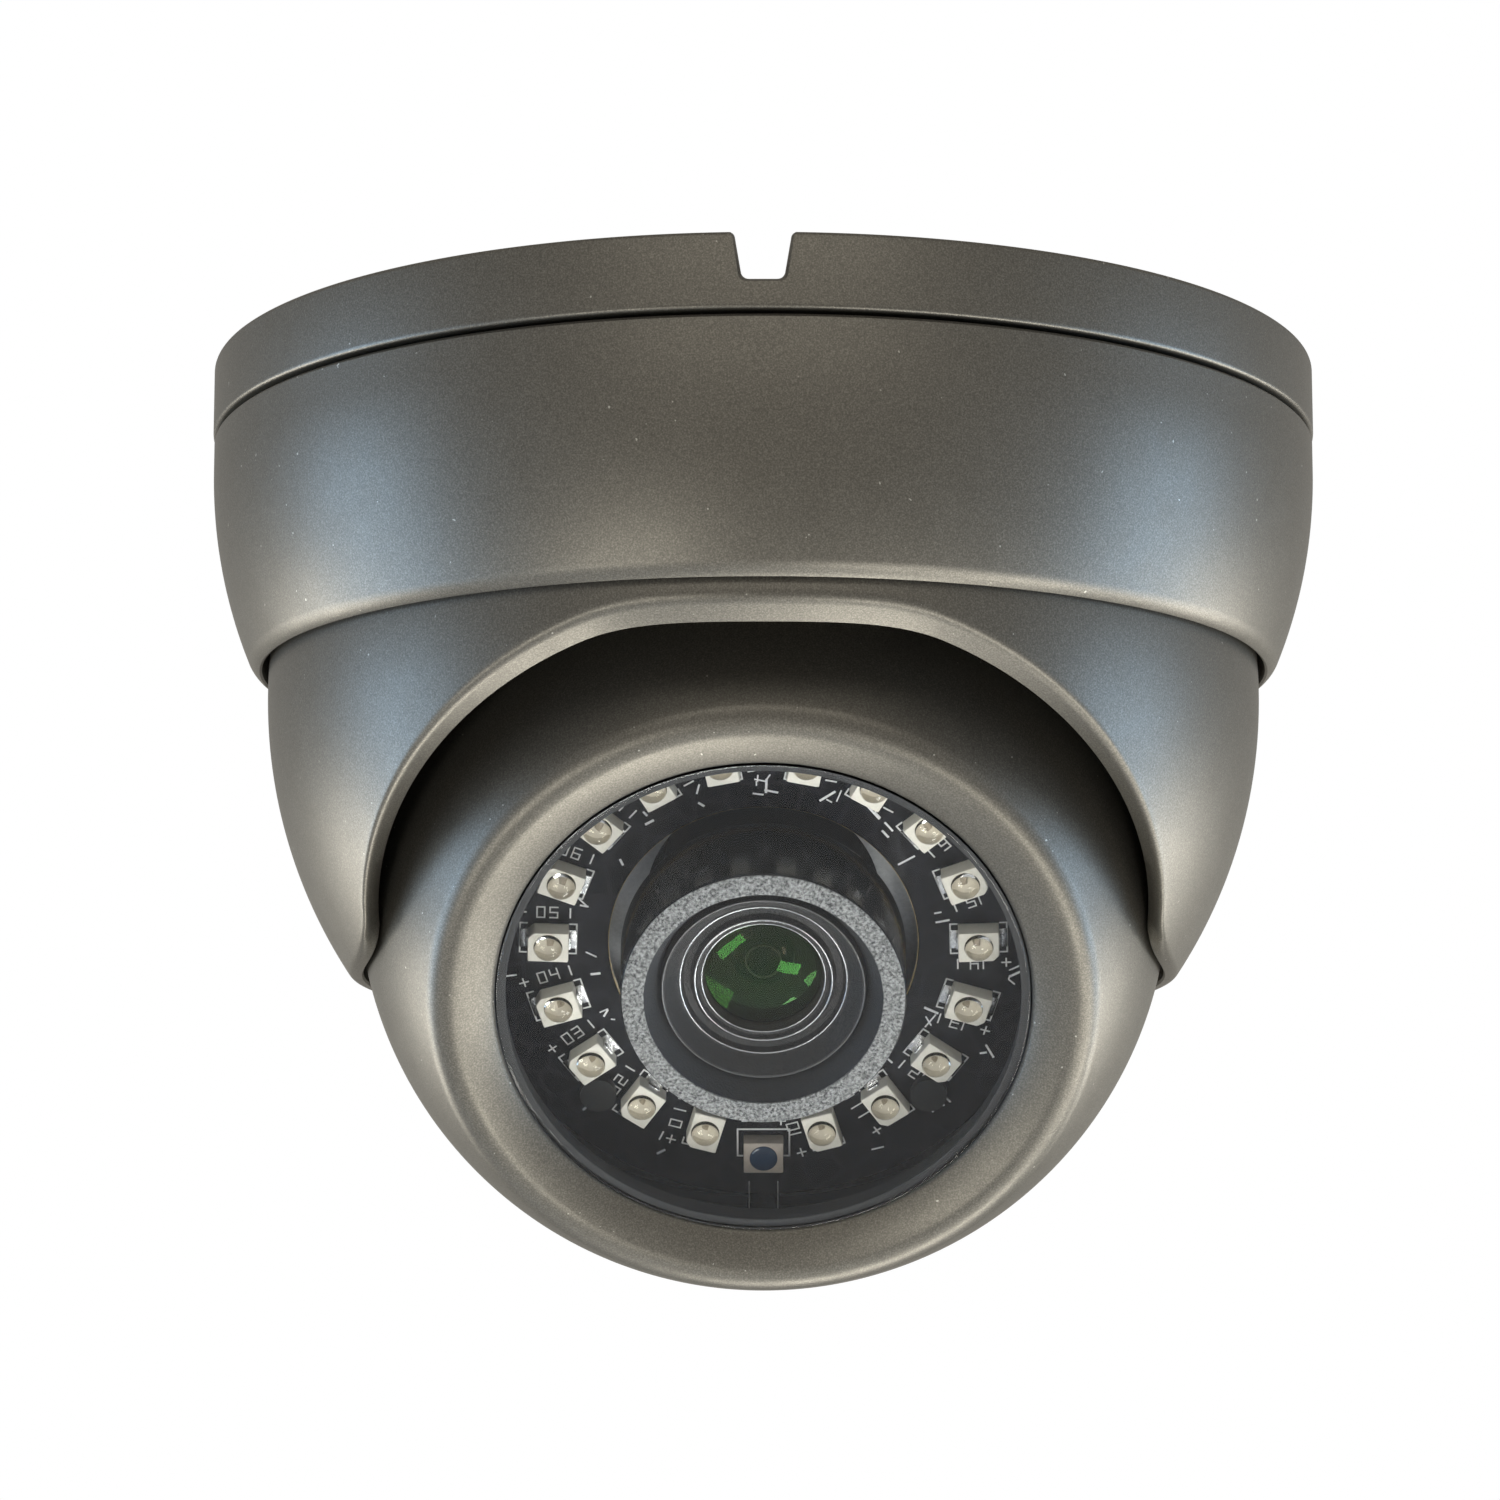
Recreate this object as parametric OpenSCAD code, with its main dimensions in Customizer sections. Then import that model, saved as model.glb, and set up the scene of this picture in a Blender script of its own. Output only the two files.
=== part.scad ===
// Ceiling dome camera: a round base, a bayonet trim ring, a panning hood and
// an aimable ball that holds the lens, the ring of infra-red LEDs and the boards.
// The mounting face is z = 0, the camera hangs below it and looks towards -Y.

/* [Base] */
// Outside diameter of the base and trim ring
base_d = 94; // [94:0.5:98]
// Height of the base plate
base_h = 6.1; // [5.8:0.1:7]
// Thickness of the base plate's floor
floor_t = 1.75; // [1.5:0.05:1.8]
// Pitch circle of the ceiling screws
screw_pcd = 70; // [64:1:72]
// Diameter of the ceiling screw holes
screw_hole_d = 4.4; // [3.5:0.1:5]
// Diameter of the cable that the grommet takes
cable_d = 5.5; // [4:0.5:6]
// Width of the cable notch at the mounting face
notch_w = 4.3; // [3:0.1:6]
// Depth of the cable notch
notch_h = 3.7; // [2:0.1:4]

/* [Trim ring] */
// Lowest point of the trim ring below the mounting face
ring_bottom = 26.6; // [26:0.1:27]
// Gap between the base plate and the trim ring
seam_gap = 0.35; // [0.3:0.05:0.6]

/* [Pan hood] */
// Outside radius of the hood's sphere
hood_r = 42; // [42:0.1:42.2]
// Wall thickness of the hood
hood_t = 2.2; // [2:0.1:2.4]
// Depth of the hood's sphere centre below the mounting face
hood_depth = 28; // [27.8:0.1:28.2]
// Depth of the hood's bottom edge
hood_bottom = 51.8; // [51:0.1:52]
// Radius of the arched window in the hood
arch_r = 32.2; // [30:0.1:33]
// Slope of the arch below the horizontal
arch_slope = 31; // [28:1:34]

/* [Ball] */
// Outside radius of the ball
ball_r = 34.2; // [34:0.1:34.3]
// Depth of the ball's centre
ball_depth = 43.6; // [43.4:0.1:43.8]
// Direction of the lens below the horizontal, at rest
lens_tilt = 36.8; // [20:0.1:60]
// Width of the groove round the ball
groove_w = 4; // [3.6:0.1:4.4]
// Radius of the window
window_r = 21.6; // [21:0.1:21.8]

/* [Electronics] */
// Number of infra-red LEDs round the lens
led_count = 18; // [12:2:18]
// Radius of the LED circle
led_circle_r = 17.5; // [17:0.1:17.6]
// Side of the sensor board
sensor_board_w = 38; // [34:1:38]
// Side of the power board
power_board_w = 34; // [30:1:34]

/* [Hidden] */
$fn = 96;
far = 200;
slit = 0.3;              // clearance between bodies that pass each other
base_r = base_d / 2;

// base plate
rim_t = 2.6;             // wall of the base plate's rim
screw_a = [90, 210, 330];
boss_r = 5.2;            // bosses of the ceiling screws
head_recess_r = 4.3;     // recess for the screw heads
head_recess_z = -3.5;
grommet_hole_r = 5;
grommet_flange_r = 6.6;
grommet_flange_t = 1;
gasket_r = [base_r - 2, base_r - 0.9];
gasket_z = -0.8;

// trim ring and the bayonet that holds it
ring_inner_r = base_r - rim_t;
ledge_z = -17;
lip_r = hood_r + 0.5;    // bore of the ring below the ledge
skirt_ro = ring_inner_r - 1.8;
skirt_ri = skirt_ro - 1.6;
skirt_z = -14.1;
lug_arc = 24;
lug_a = [30, 150, 270];
lug_reach = 1.3;
base_lug_z = [-11, -9];
ring_lug_z = [-8.6, -6.9];

// hood flange, trapped between the skirt and the ring's ledge
flange_r = ring_inner_r - 0.4;
flange_z = [-16.1, skirt_z - 0.4];
friction_t = 0.5;
hood_ri = hood_r - hood_t;
seat_r = ball_r + 0.35;
arch_top_cut = 1.2;      // height that the arch's crown is flattened by

// tilt pins and the shoes that run in the ball's groove
pin_r = 1.2;
pin_fit = 0.05;
groove_floor_r = ball_r - 2.4;
shoe_boss_r = 2.6;
shoe_play = 0.1;         // play of a shoe on each side of the groove
shoe_boss_x = [ball_r + slit, ball_r + 1.5];
pocket_x = shoe_boss_x[1] + slit;
pin_x = [groove_floor_r + 0.8, pocket_x + 1.7];

// ball, in its own frame: +Z is the lens axis, +Y the top of the picture
ball_ri = ball_r - 2.6;
rear_floor_z = -31.2;    // flat inside the rear half that the gland clamps on
belt_r = groove_floor_r - 2.2;
belt_z = 4;
crest_r = 2.3;           // roundness of the bezel's crest
crest_z = 19.2;
crest_c = sqrt(pow(ball_r - crest_r, 2) - crest_z * crest_z);
window_z = [19.6, 20.4];
window_fit = 0.15;       // gap round the window's edge
bezel_foot = [window_r + window_fit, window_z[1] - 0.35];
seat_z = window_z[0] - 0.5;
seat_ri = window_r - 0.6;
seat_t = 1.6;            // thickness of the seat's shelf
ball_screw_r = 26.6;
ball_screw_a = [90, 210, 330];
ball_screw_boss_r = 3.2;
ball_head_z = -16;       // face that the heads of the ball's screws clamp on
seal_r = [30.3, 31.2];
seal_z = -0.6;
gland_flat_z = -33.1;
gland_hole_r = 3.5;
gland_flange_r = 4.8;

// boards and lens, heights along the lens axis
led_board_z = [9.6, 10.6];
led_board_ro = 23.7;
led_board_hole = 12.6;
led_tab = [2.75, 25.2];  // width of the board's locating tab and how far out it reaches
led_size = [3.4, 2.8, 2];
led_cup_r = 1.1;
led_cup_z = led_board_z[1] + 0.6;
sensor_eye_at = [0, -19.3, 0];
sensor_eye_r = 1.15;
led_angles = [for (i = [0 : led_count / 2 - 1]) 16 + i * 152.6 / (led_count / 2 - 1)];
post_r = 19.3;
post_a = [225, 315, 90];
plate_z = [2, 3.2];
sensor_board_z = [-7.2, -5.6];
power_board_z = [-15.6, -14];
standoff_at = 16.6;
board_hole_r = 1.1;
lead_at = [[14, -5.7], [14.7, -4.5]];
lead_r = 0.45;
plug_h = 3;              // height of the plug under the LED board
socket_h = 4;            // height of the socket on the sensor board
lens_z = 16.5;
head_r = 8.3;
head_z = 11.2;
lip_z = lens_z + 1.4;     // front of the lip round the lens head
thread_r = 6;
retainer_ro = 6.8;
retainer_ri = 5;
retainer_z = [lens_z - 1.4, lens_z - 0.6];
front_glass_r = 5.4;
front_glass_z = 13.4;    // back of the front glass
front_glass_curve = 10.4;
rear_glass_r = 4.4;
shield_ro = 11.6;
shield_crown_r = 9.8;
shield_z = window_z[0] - 0.05;

// ---------- helpers ----------

// tube between two heights
module ring(ro, ri, z0, z1)
  translate([0, 0, z0]) difference() {
    cylinder(r = ro, h = z1 - z0);
    translate([0, 0, -1]) cylinder(r = ri, h = z1 - z0 + 2);
  }

// rod between two heights
module rod(r, z0, z1) translate([0, 0, z0]) cylinder(r = r, h = z1 - z0);

// board, block or chip centred on the axis between two heights
module slab(w, d, z0, z1) translate([-w / 2, -d / 2, z0]) cube([w, d, z1 - z0]);

// places children at each angle on a circle
module around(r, angles) for (a = angles) rotate([0, 0, a]) translate([r, 0, 0]) children();

// places children at the four corners of a square
module corners(at) for (x = [-at, at], y = [-at, at]) translate([x, y, 0]) children();

// moves children from the ball's frame to where the ball hangs
module in_ball() translate([0, 0, -ball_depth]) rotate([90 + lens_tilt, 0, 0]) children();

// angles of the LEDs in the ball's frame, counted from the bottom on both sides
function led_dirs() = [for (s = [-1, 1], a = led_angles) -90 + s * a];

// sector of a ring, used for the bayonet lugs
module lug(ro, ri, z, a) rotate([0, 0, a]) intersection() {
  ring(ro, ri, z[0], z[1]);
  linear_extrude(height = far, center = true)
    polygon([[0, 0], [far, -far * tan(lug_arc / 2)], [far, far * tan(lug_arc / 2)]]);
}

// ---------- base ----------

module notch_cut() {
  foot_w = notch_w - 0.9;
  corner = 0.6;
  translate([0, -base_r + rim_t + 1, 0]) rotate([90, 0, 0]) linear_extrude(height = rim_t + 3) {
    polygon([[-notch_w / 2, 1], [-notch_w / 2, 0], [-foot_w / 2, corner - notch_h],
             [foot_w / 2, corner - notch_h], [notch_w / 2, 0], [notch_w / 2, 1]]);
    translate([corner - foot_w / 2, -notch_h]) square([foot_w - 2 * corner, notch_h]);
    for (s = [-1, 1]) translate([s * (foot_w / 2 - corner), corner - notch_h]) circle(r = corner);
  }
}

module rim_profile() {
  edge = 0.4;
  difference() {
    translate([0, -base_h]) square([base_r, base_h]);
    translate([base_r - edge, -edge]) square(edge + 1);
    translate([base_r - edge / 2, -base_h - 1]) square([2, 1 + edge / 2]);
  }
  translate([base_r - edge, -edge]) circle(r = edge);
  translate([base_r - edge / 2, edge / 2 - base_h]) circle(r = edge / 2);
}

module base_plate() color("#5a5852") difference() {
  union() {
    difference() {
      rotate_extrude() intersection() {
        rim_profile();
        translate([0, -far / 2]) square([far, far]);
      }
      rod(base_r - rim_t, floor_t - base_h, 1);
    }
    around(screw_pcd / 2, screw_a) rod(boss_r, -base_h, 0);
    ring(grommet_flange_r + 2.4, grommet_flange_r + 0.6, floor_t - base_h - 0.5, -1.2);
    ring(skirt_ro, skirt_ri, skirt_z, -base_h + 0.5);
    for (a = lug_a) lug(skirt_ro + lug_reach, skirt_ro - 0.5, base_lug_z, a);
  }
  around(screw_pcd / 2, screw_a) {
    rod(screw_hole_d / 2, -far, far);
    rod(head_recess_r, -far, head_recess_z);
  }
  rod(grommet_hole_r, -far, far);
  ring(gasket_r[1], gasket_r[0], gasket_z, 1);
  notch_cut();
}

module base_gasket() color("#1c1c1c") difference() {
  ring(gasket_r[1], gasket_r[0], gasket_z, 0);
  notch_cut();
}

module cable_grommet() color("#202020") difference() {
  union() {
    rod(grommet_flange_r, -base_h - grommet_flange_t, -base_h);
    rod(grommet_hole_r, -base_h, floor_t - base_h);
    rod(grommet_flange_r, floor_t - base_h, floor_t - base_h + grommet_flange_t);
  }
  rod(cable_d / 2, -far, far);
}

// ---------- trim ring ----------

// outside of the ring: an arc that draws it in, then a round foot tangent to that arc
module ring_outline() {
  top_z = -base_h - seam_gap;
  sweep_r = 41.6;
  sweep_c = [base_r - 0.1 - sweep_r, -9];
  foot_r = 2.6;
  foot_z = foot_r + 0.3 - ring_bottom;
  foot_x = sweep_c[0] + sqrt(pow(sweep_r - foot_r, 2) - pow(foot_z - sweep_c[1], 2));
  touch_z = foot_z + foot_r * (foot_z - sweep_c[1]) / (sweep_r - foot_r);
  intersection() {
    translate([0, -far]) square([base_r, far + top_z]);
    union() {
      translate(sweep_c) circle(r = sweep_r, $fn = 256);
      translate([0, sweep_c[1]]) square([sweep_c[0] + sweep_r, far]);
    }
    union() {
      translate([0, touch_z]) square([far, far]);
      translate([foot_x, foot_z]) circle(r = foot_r);
      translate([0, foot_z - foot_r]) square([foot_x, foot_r]);
    }
  }
}

module trim_ring() color("#625f58") {
  rotate_extrude() difference() {
    ring_outline();
    translate([-1, ledge_z]) square([ring_inner_r + 1, far]);
    translate([-1, -far]) square([lip_r + 1, far]);
  }
  for (a = lug_a) lug(ring_inner_r + 0.5, ring_inner_r - lug_reach, ring_lug_z, a);
}

// ---------- pan hood ----------

module hood_ball(r) translate([0, 0, -hood_depth]) sphere(r = r, $fn = 128);

// the arched opening: a cylinder sloping forwards and down, its crown flattened
module arch_cut() {
  axis_z = -hood_depth - 10.7;
  translate([0, 0, axis_z]) rotate([90 + arch_slope, 0, 0]) difference() {
    cylinder(r = arch_r, h = 80, $fn = 128);
    translate([-far / 2, arch_r - arch_top_cut, -1]) cube([far, far, far]);
  }
}

module pan_hood() color("#625f58") difference() {
  union() {
    intersection() {
      hood_ball(hood_r);
      translate([-far / 2, -far / 2, -hood_bottom]) cube([far, far, hood_bottom + flange_z[1]]);
    }
    rod(flange_r, flange_z[0], flange_z[1]);
  }
  hood_ball(hood_ri);
  rod(sqrt(hood_ri * hood_ri - pow(hood_depth + flange_z[1], 2)), flange_z[1] - 1, far);
  translate([0, 0, -ball_depth]) sphere(r = seat_r, $fn = 128);
  arch_cut();
  for (s = [-1, 1]) translate([0, 0, -ball_depth]) rotate([0, s * 90, 0]) {
    rod(shoe_boss_r + 0.5, 30, pocket_x);
    rod(pin_r, 30, pin_x[1]);
  }
}

module friction_ring() color("#d8d4c4")
  ring(flange_r - 0.2, lip_r + 0.1, flange_z[0] - friction_t, flange_z[0]);

module tilt_pins() color("#b8b8b4")
  for (s = [-1, 1]) translate([0, 0, -ball_depth]) rotate([0, s * 90, 0]) rod(pin_r, pin_x[0], pin_x[1]);

// ---------- shoes that let the ball turn about the lens axis ----------

module groove_shoes() color("#dcd8c8") in_ball() for (s = [-1, 1]) difference() {
  union() {
    intersection() {
      ring(ball_r, groove_floor_r + slit, shoe_play - groove_w / 2, groove_w / 2 - shoe_play);
      translate([s * ball_r, 0, 0]) cube([10, 10, 10], center = true);
    }
    rotate([0, s * 90, 0]) rod(shoe_boss_r, shoe_boss_x[0], shoe_boss_x[1]);
    rotate([0, s * 90, 0]) rod(groove_w / 2 - shoe_play, ball_r - 1, shoe_boss_x[1]);
  }
  rotate([0, s * 90, 0]) rod(pin_r + pin_fit, 20, 60);
}

// ---------- ball ----------

// outline of both halves with the groove, in radius and height
module ball_outline() difference() {
  circle(r = ball_r, $fn = 180);
  translate([groove_floor_r, -groove_w / 2]) square([10, groove_w]);
}

module ball_cavity() difference() {
  circle(r = ball_ri, $fn = 180);
  translate([belt_r, -belt_z]) square([10, 2 * belt_z]);
  translate([belt_r - 1.4, plate_z[1]]) square([10, 1.6]);
}

// half-plane to the right of the axis, between two heights
module right_side(z0, z1) translate([0, z0]) square([far, z1 - z0]);

module ball_front() color("#625f58") in_ball() {
  lean = atan2(crest_z - bezel_foot[1], crest_c - bezel_foot[0])
       + asin(crest_r / norm([crest_c - bezel_foot[0], crest_z - bezel_foot[1]]));
  run = sqrt(pow(crest_c - bezel_foot[0], 2) + pow(crest_z - bezel_foot[1], 2) - crest_r * crest_r);
  lip = bezel_foot + run * [cos(lean), sin(lean)];
  shoulder_z = ball_r * crest_z / (ball_r - crest_r);
  difference() {
    union() {
      rotate_extrude() difference() {
        union() {
          intersection() {
            ball_outline();
            right_side(0, shoulder_z);
          }
          translate([crest_c, crest_z]) circle(r = crest_r);
        }
        intersection() {
          ball_cavity();
          right_side(-1, seat_z - seat_t);
        }
        polygon([[-1, bezel_foot[1]], bezel_foot, lip, [lip[0], far], [-1, far]]);
        translate([-1, seat_z]) square([window_r + window_fit + 1, 5]);
        translate([-1, seat_z - 5]) square([seat_ri + 1, 10]);
      }
      around(ball_screw_r, ball_screw_a) rod(ball_screw_boss_r, 0, 9);
    }
    around(ball_screw_r, ball_screw_a) rod(0.9, -1, 8);
    rod(belt_r - 0.1, plate_z[0] - 3, plate_z[1]);
  }
}

module ball_rear() color("#55534d") in_ball() difference() {
  union() {
    rotate_extrude() difference() {
      intersection() {
        ball_outline();
        right_side(gland_flat_z, 0);
      }
      intersection() {
        circle(r = ball_ri, $fn = 180);
        right_side(rear_floor_z, -belt_z);
      }
      translate([-1, -belt_z - 1]) square([belt_r + 1, belt_z + 2]);
    }
    intersection() {
      around(ball_screw_r, ball_screw_a) rod(ball_screw_boss_r, ball_head_z - 2, 0);
      sphere(r = ball_r - 0.6, $fn = 128);
    }
  }
  around(ball_screw_r, ball_screw_a) {
    rod(1.3, -30, 1);
    rod(2.5, -30, ball_head_z);
  }
  ring(seal_r[1], seal_r[0], seal_z, 1);
  rod(gland_hole_r, -40, -20);
}

module ball_seal() color("#1a1a1a") in_ball() ring(seal_r[1], seal_r[0], seal_z, 0);

module ball_screws() color("#b0b0aa") in_ball() around(ball_screw_r, ball_screw_a) difference() {
  head_h = 1.6;
  union() {
    rod(2.2, ball_head_z - head_h, ball_head_z);
    rod(0.9, ball_head_z - 0.1, 7.5);
  }
  for (a = [0, 90]) translate([0, 0, ball_head_z - head_h]) rotate([0, 0, a])
    cube([3, 0.6, head_h], center = true);
}

module rear_gland() color("#1c1c1c") in_ball() difference() {
  union() {
    rod(gland_flange_r, gland_flat_z - 0.7, gland_flat_z);
    rod(gland_hole_r, gland_flat_z, rear_floor_z);
    rod(gland_flange_r, rear_floor_z, rear_floor_z + 1);
  }
  rod(1.6, -40, -20);
}

// ---------- window ----------

module window() color("#303438", 0.35) in_ball() rod(window_r, window_z[0], window_z[1]);

module window_gasket() color("#161616") in_ball() ring(window_r, seat_ri, seat_z, window_z[0]);

// ---------- LED board ----------

module led_board() color("#17171a") in_ball() difference() {
  union() {
    ring(led_board_ro, led_board_hole, led_board_z[0], led_board_z[1]);
    translate([0, 1 - led_tab[1], 0]) slab(led_tab[0], 2, led_board_z[0], led_board_z[1]);
  }
  around(post_r, post_a) rod(board_hole_r, 0, 20);
}

// LED housings with the cup that the dome sits in
module led_packages() color("#e6e0d0") in_ball() around(led_circle_r, led_dirs()) difference() {
  slab(led_size[0], led_size[1], led_board_z[1], led_board_z[1] + led_size[2] - 0.4);
  rod(led_cup_r, led_cup_z, 20);
}

module led_domes() color("#d8d4c8", 0.5) in_ball() around(led_circle_r, led_dirs()) intersection() {
  translate([0, 0, led_board_z[1] + 1.1]) sphere(r = led_cup_r, $fn = 32);
  rod(3, led_cup_z, 20);
}

module light_sensor() color("#d8d2c4") in_ball() translate(sensor_eye_at) difference() {
  slab(3.3, 2.9, led_board_z[1], led_board_z[1] + 1.6);
  rod(sensor_eye_r, led_board_z[1] + 0.8, 20);
}

module light_sensor_eye() color("#27405c") in_ball() translate(sensor_eye_at)
  rod(sensor_eye_r, led_board_z[1] + 0.8, led_board_z[1] + 1.6);

module led_board_screws() color("#18181a") in_ball() around(post_r, post_a) {
  rod(1.5, led_board_z[1], led_board_z[1] + 0.9);
  rod(0.8, led_board_z[0] - 3, led_board_z[1] + 0.1);
}

module led_board_posts() color("#c8a850") in_ball() around(post_r, post_a) difference() {
  translate([0, 0, plate_z[1]]) cylinder(r = 1.8, h = led_board_z[0] - plate_z[1], $fn = 6);
  rod(0.8, led_board_z[0] - 3, 20);
}

module chassis_plate() color("#b4b6b8") in_ball() difference() {
  rod(belt_r - 0.2, plate_z[0], plate_z[1]);
  rod(9.6, -far, far);
  around(ball_screw_r, ball_screw_a) rod(3.5, -far, far);
  corners(standoff_at) rod(board_hole_r, -far, far);
  translate((lead_at[0] + lead_at[1]) / 2) rod(4 * lead_r, -far, far);
  for (s = [-1, 1]) translate([s * 22, 0, 0]) slab(4, 12, 0, 10);
}

// ---------- lens ----------

// soft collar that keeps LED light off the lens
module lens_shield() color("#2a2a2c") in_ball() rotate_extrude()
  polygon([[head_r + 0.05, head_z], [shield_ro, head_z], [shield_ro, shield_z], [shield_crown_r, shield_z],
           [head_r + 0.05, lens_z]]);

module lens_barrel() color("#141414") in_ball() difference() {
  union() {
    rod(thread_r, -1.8, head_z + 0.8);
    rod(head_r, head_z, lens_z);
    rotate_extrude() polygon([[retainer_ro, lens_z - 0.5], [head_r, lens_z - 0.5], [head_r, lip_z],
                              [head_r - 0.3, lip_z], [retainer_ro + 0.2, lens_z]]);
  }
  rod(retainer_ro, retainer_z[0], 30);
  rod(front_glass_r, front_glass_z, 30);
  rod(rear_glass_r, -5, 30);
}

module lens_retainer() color("#0c0c0c") in_ball()
  ring(retainer_ro, retainer_ri, retainer_z[0], retainer_z[1]);

module lens_front_glass() color("#20281f", 0.6) in_ball() intersection() {
  rod(front_glass_r, front_glass_z, 30);
  translate([0, 0, lens_z - 0.2 - front_glass_curve]) sphere(r = front_glass_curve, $fn = 96);
}

module lens_rear_glass() color("#303a44", 0.6) in_ball() rod(rear_glass_r, -1.4, 0.6);

module lens_lock_nut() color("#b8b8b4") in_ball() difference() {
  translate([0, 0, 8.6]) cylinder(r = 8.6, h = 2, $fn = 6);
  rod(thread_r, 0, 20);
}

module lens_holder() color("#1e1e20") in_ball() difference() {
  union() {
    slab(21, 17, sensor_board_z[1], -1.9);
    rod(8.2, -3, 8.6);
  }
  rod(thread_r, -1.9, 20);
  slab(13, 13, sensor_board_z[1] - 1, -1.9);
}

module ir_filter() color("#703040") in_ball() slab(13, 13, -2.9, -1.9);

// ---------- boards ----------

module image_sensor() color("#3a3f3a") in_ball() slab(9, 8, sensor_board_z[1], -4.2);

module sensor_board() color("#1f4a2c") in_ball() difference() {
  slab(sensor_board_w, sensor_board_w, sensor_board_z[0], sensor_board_z[1]);
  corners(standoff_at) rod(board_hole_r, -far, far);
}

module isp_chip() color("#222224") in_ball() translate([3, 2, 0])
  slab(11, 11, sensor_board_z[0] - 1.2, sensor_board_z[0]);

module board_standoffs() color("#c8a850") in_ball() corners(standoff_at) {
  translate([0, 0, sensor_board_z[1]]) cylinder(r = 2.2, h = plate_z[0] - sensor_board_z[1], $fn = 6);
  rod(1, plate_z[0] - 0.1, plate_z[1] + 2);
}

module plate_nuts() color("#b0b0aa") in_ball() corners(standoff_at) difference() {
  translate([0, 0, plate_z[1]]) cylinder(r = 2.1, h = 1.6, $fn = 6);
  rod(1, 0, 20);
}

module board_spacers() color("#c8a850") in_ball() corners(standoff_at) difference() {
  translate([0, 0, power_board_z[1]])
    cylinder(r = 2.2, h = sensor_board_z[0] - power_board_z[1], $fn = 6);
  rod(0.9, -20, power_board_z[1] + 4);
}

module power_board() color("#1f4a2c") in_ball() difference() {
  intersection() {
    slab(power_board_w + 3, power_board_w + 3, power_board_z[0], power_board_z[1]);
    rod(25.2, -far, far);
  }
  corners(standoff_at) rod(board_hole_r, -far, far);
}

module power_inductor() color("#3c3c40") in_ball() translate([-7, -6, 0])
  slab(8, 8, power_board_z[1], power_board_z[1] + 3.6);

module lead_connectors() color("#e8e4d8") in_ball() {
  translate([7, 8, 0]) slab(10, 4.5, power_board_z[0] - 5, power_board_z[0]);
  translate([-8, 8, 0]) slab(7.5, 4.5, power_board_z[0] - 5, power_board_z[0]);
  translate([13, -7, 0]) slab(4.5, 6, sensor_board_z[1], sensor_board_z[1] + socket_h);
  translate([15, -4.2, 0]) slab(3, 4, led_board_z[0] - plug_h, led_board_z[0]);
}

module board_screws() color("#b0b0aa") in_ball() corners(standoff_at) {
  rod(1.9, power_board_z[0] - 1.3, power_board_z[0]);
  rod(0.9, power_board_z[0] - 0.1, power_board_z[1] + 3.6);
}

// two wires from the sensor board's socket, through the plate, to the LED board's plug
module led_leads() color("#c03028") in_ball() for (at = lead_at)
  translate(at) rod(lead_r, sensor_board_z[1] + socket_h, led_board_z[0] - plug_h);

base_plate();
base_gasket();
cable_grommet();
trim_ring();
pan_hood();
friction_ring();
tilt_pins();
groove_shoes();
ball_front();
ball_rear();
ball_seal();
ball_screws();
rear_gland();
window();
window_gasket();
led_board();
led_packages();
led_domes();
light_sensor();
light_sensor_eye();
led_board_screws();
led_board_posts();
chassis_plate();
lens_shield();
lens_barrel();
lens_front_glass();
lens_retainer();
lens_rear_glass();
lens_lock_nut();
lens_holder();
ir_filter();
sensor_board();
image_sensor();
isp_chip();
board_standoffs();
plate_nuts();
board_spacers();
power_board();
power_inductor();
lead_connectors();
board_screws();
led_leads();
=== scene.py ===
"""Looks of the dome camera: painted shells, window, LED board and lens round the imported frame."""
import math
import random

import bmesh
import bpy
from mathutils import Matrix, Vector


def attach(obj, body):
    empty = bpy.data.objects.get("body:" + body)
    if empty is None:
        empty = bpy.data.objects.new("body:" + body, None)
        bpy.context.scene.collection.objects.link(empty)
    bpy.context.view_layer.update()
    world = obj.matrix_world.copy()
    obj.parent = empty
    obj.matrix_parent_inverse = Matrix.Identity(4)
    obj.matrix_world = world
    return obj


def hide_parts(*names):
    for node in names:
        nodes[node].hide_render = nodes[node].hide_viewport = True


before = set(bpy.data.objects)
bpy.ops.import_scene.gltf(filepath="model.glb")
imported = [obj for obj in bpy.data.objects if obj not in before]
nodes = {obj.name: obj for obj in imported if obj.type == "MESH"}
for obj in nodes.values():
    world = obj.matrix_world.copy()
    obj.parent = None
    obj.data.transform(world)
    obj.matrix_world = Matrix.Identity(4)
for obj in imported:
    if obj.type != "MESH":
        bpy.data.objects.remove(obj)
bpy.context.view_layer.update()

MM = 0.001
scene = bpy.context.scene

# ---------------------------------------------------------------- sizes, in millimetres
BASE_R = 47.0
BASE_H = 6.1
FLOOR_Z = -4.35
RIM_T = 2.6
CABLE_HOLE_R = 5.0
SKIRT_Z = -14.1         # lower end of the base's skirt
SCREW_AT = 35.0         # ceiling screws, distance from the pan axis
SCREW_ANGLES = (90, 210, 330)    # of the ceiling screws, and of the screws in the ball
SCREW_R = 2.2
HEAD_RECESS_R = 4.3
HEAD_RECESS_Z = -3.5
RING_TOP = -6.45
RING_BOTTOM = -26.3
RING_INNER_R = 44.4
LEDGE_Z = -17.0
LIP_R = 42.5
HOOD_R = 42.0
HOOD_INNER_R = 39.8
HOOD_Z = -28.0
HOOD_BOTTOM = -51.8
ARCH_VIEW = 31          # the hood's arch is round as seen from this many degrees below the horizontal
CREST_ARCH = (32.2, -33.2, -1.7)    # outside: radius, and heights of the arch's centre and crown in that view
INNER_ARCH = (31.3, -34.7, -4.2)    # the same on the inside
FLANGE_R = 44.0
FLANGE_Z = (-16.1, -14.5)
SEAT_R = 34.55
BALL_R = 34.19
BALL_INNER_R = 31.6
BALL_Z = -43.6
TILT = 36.8
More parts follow.
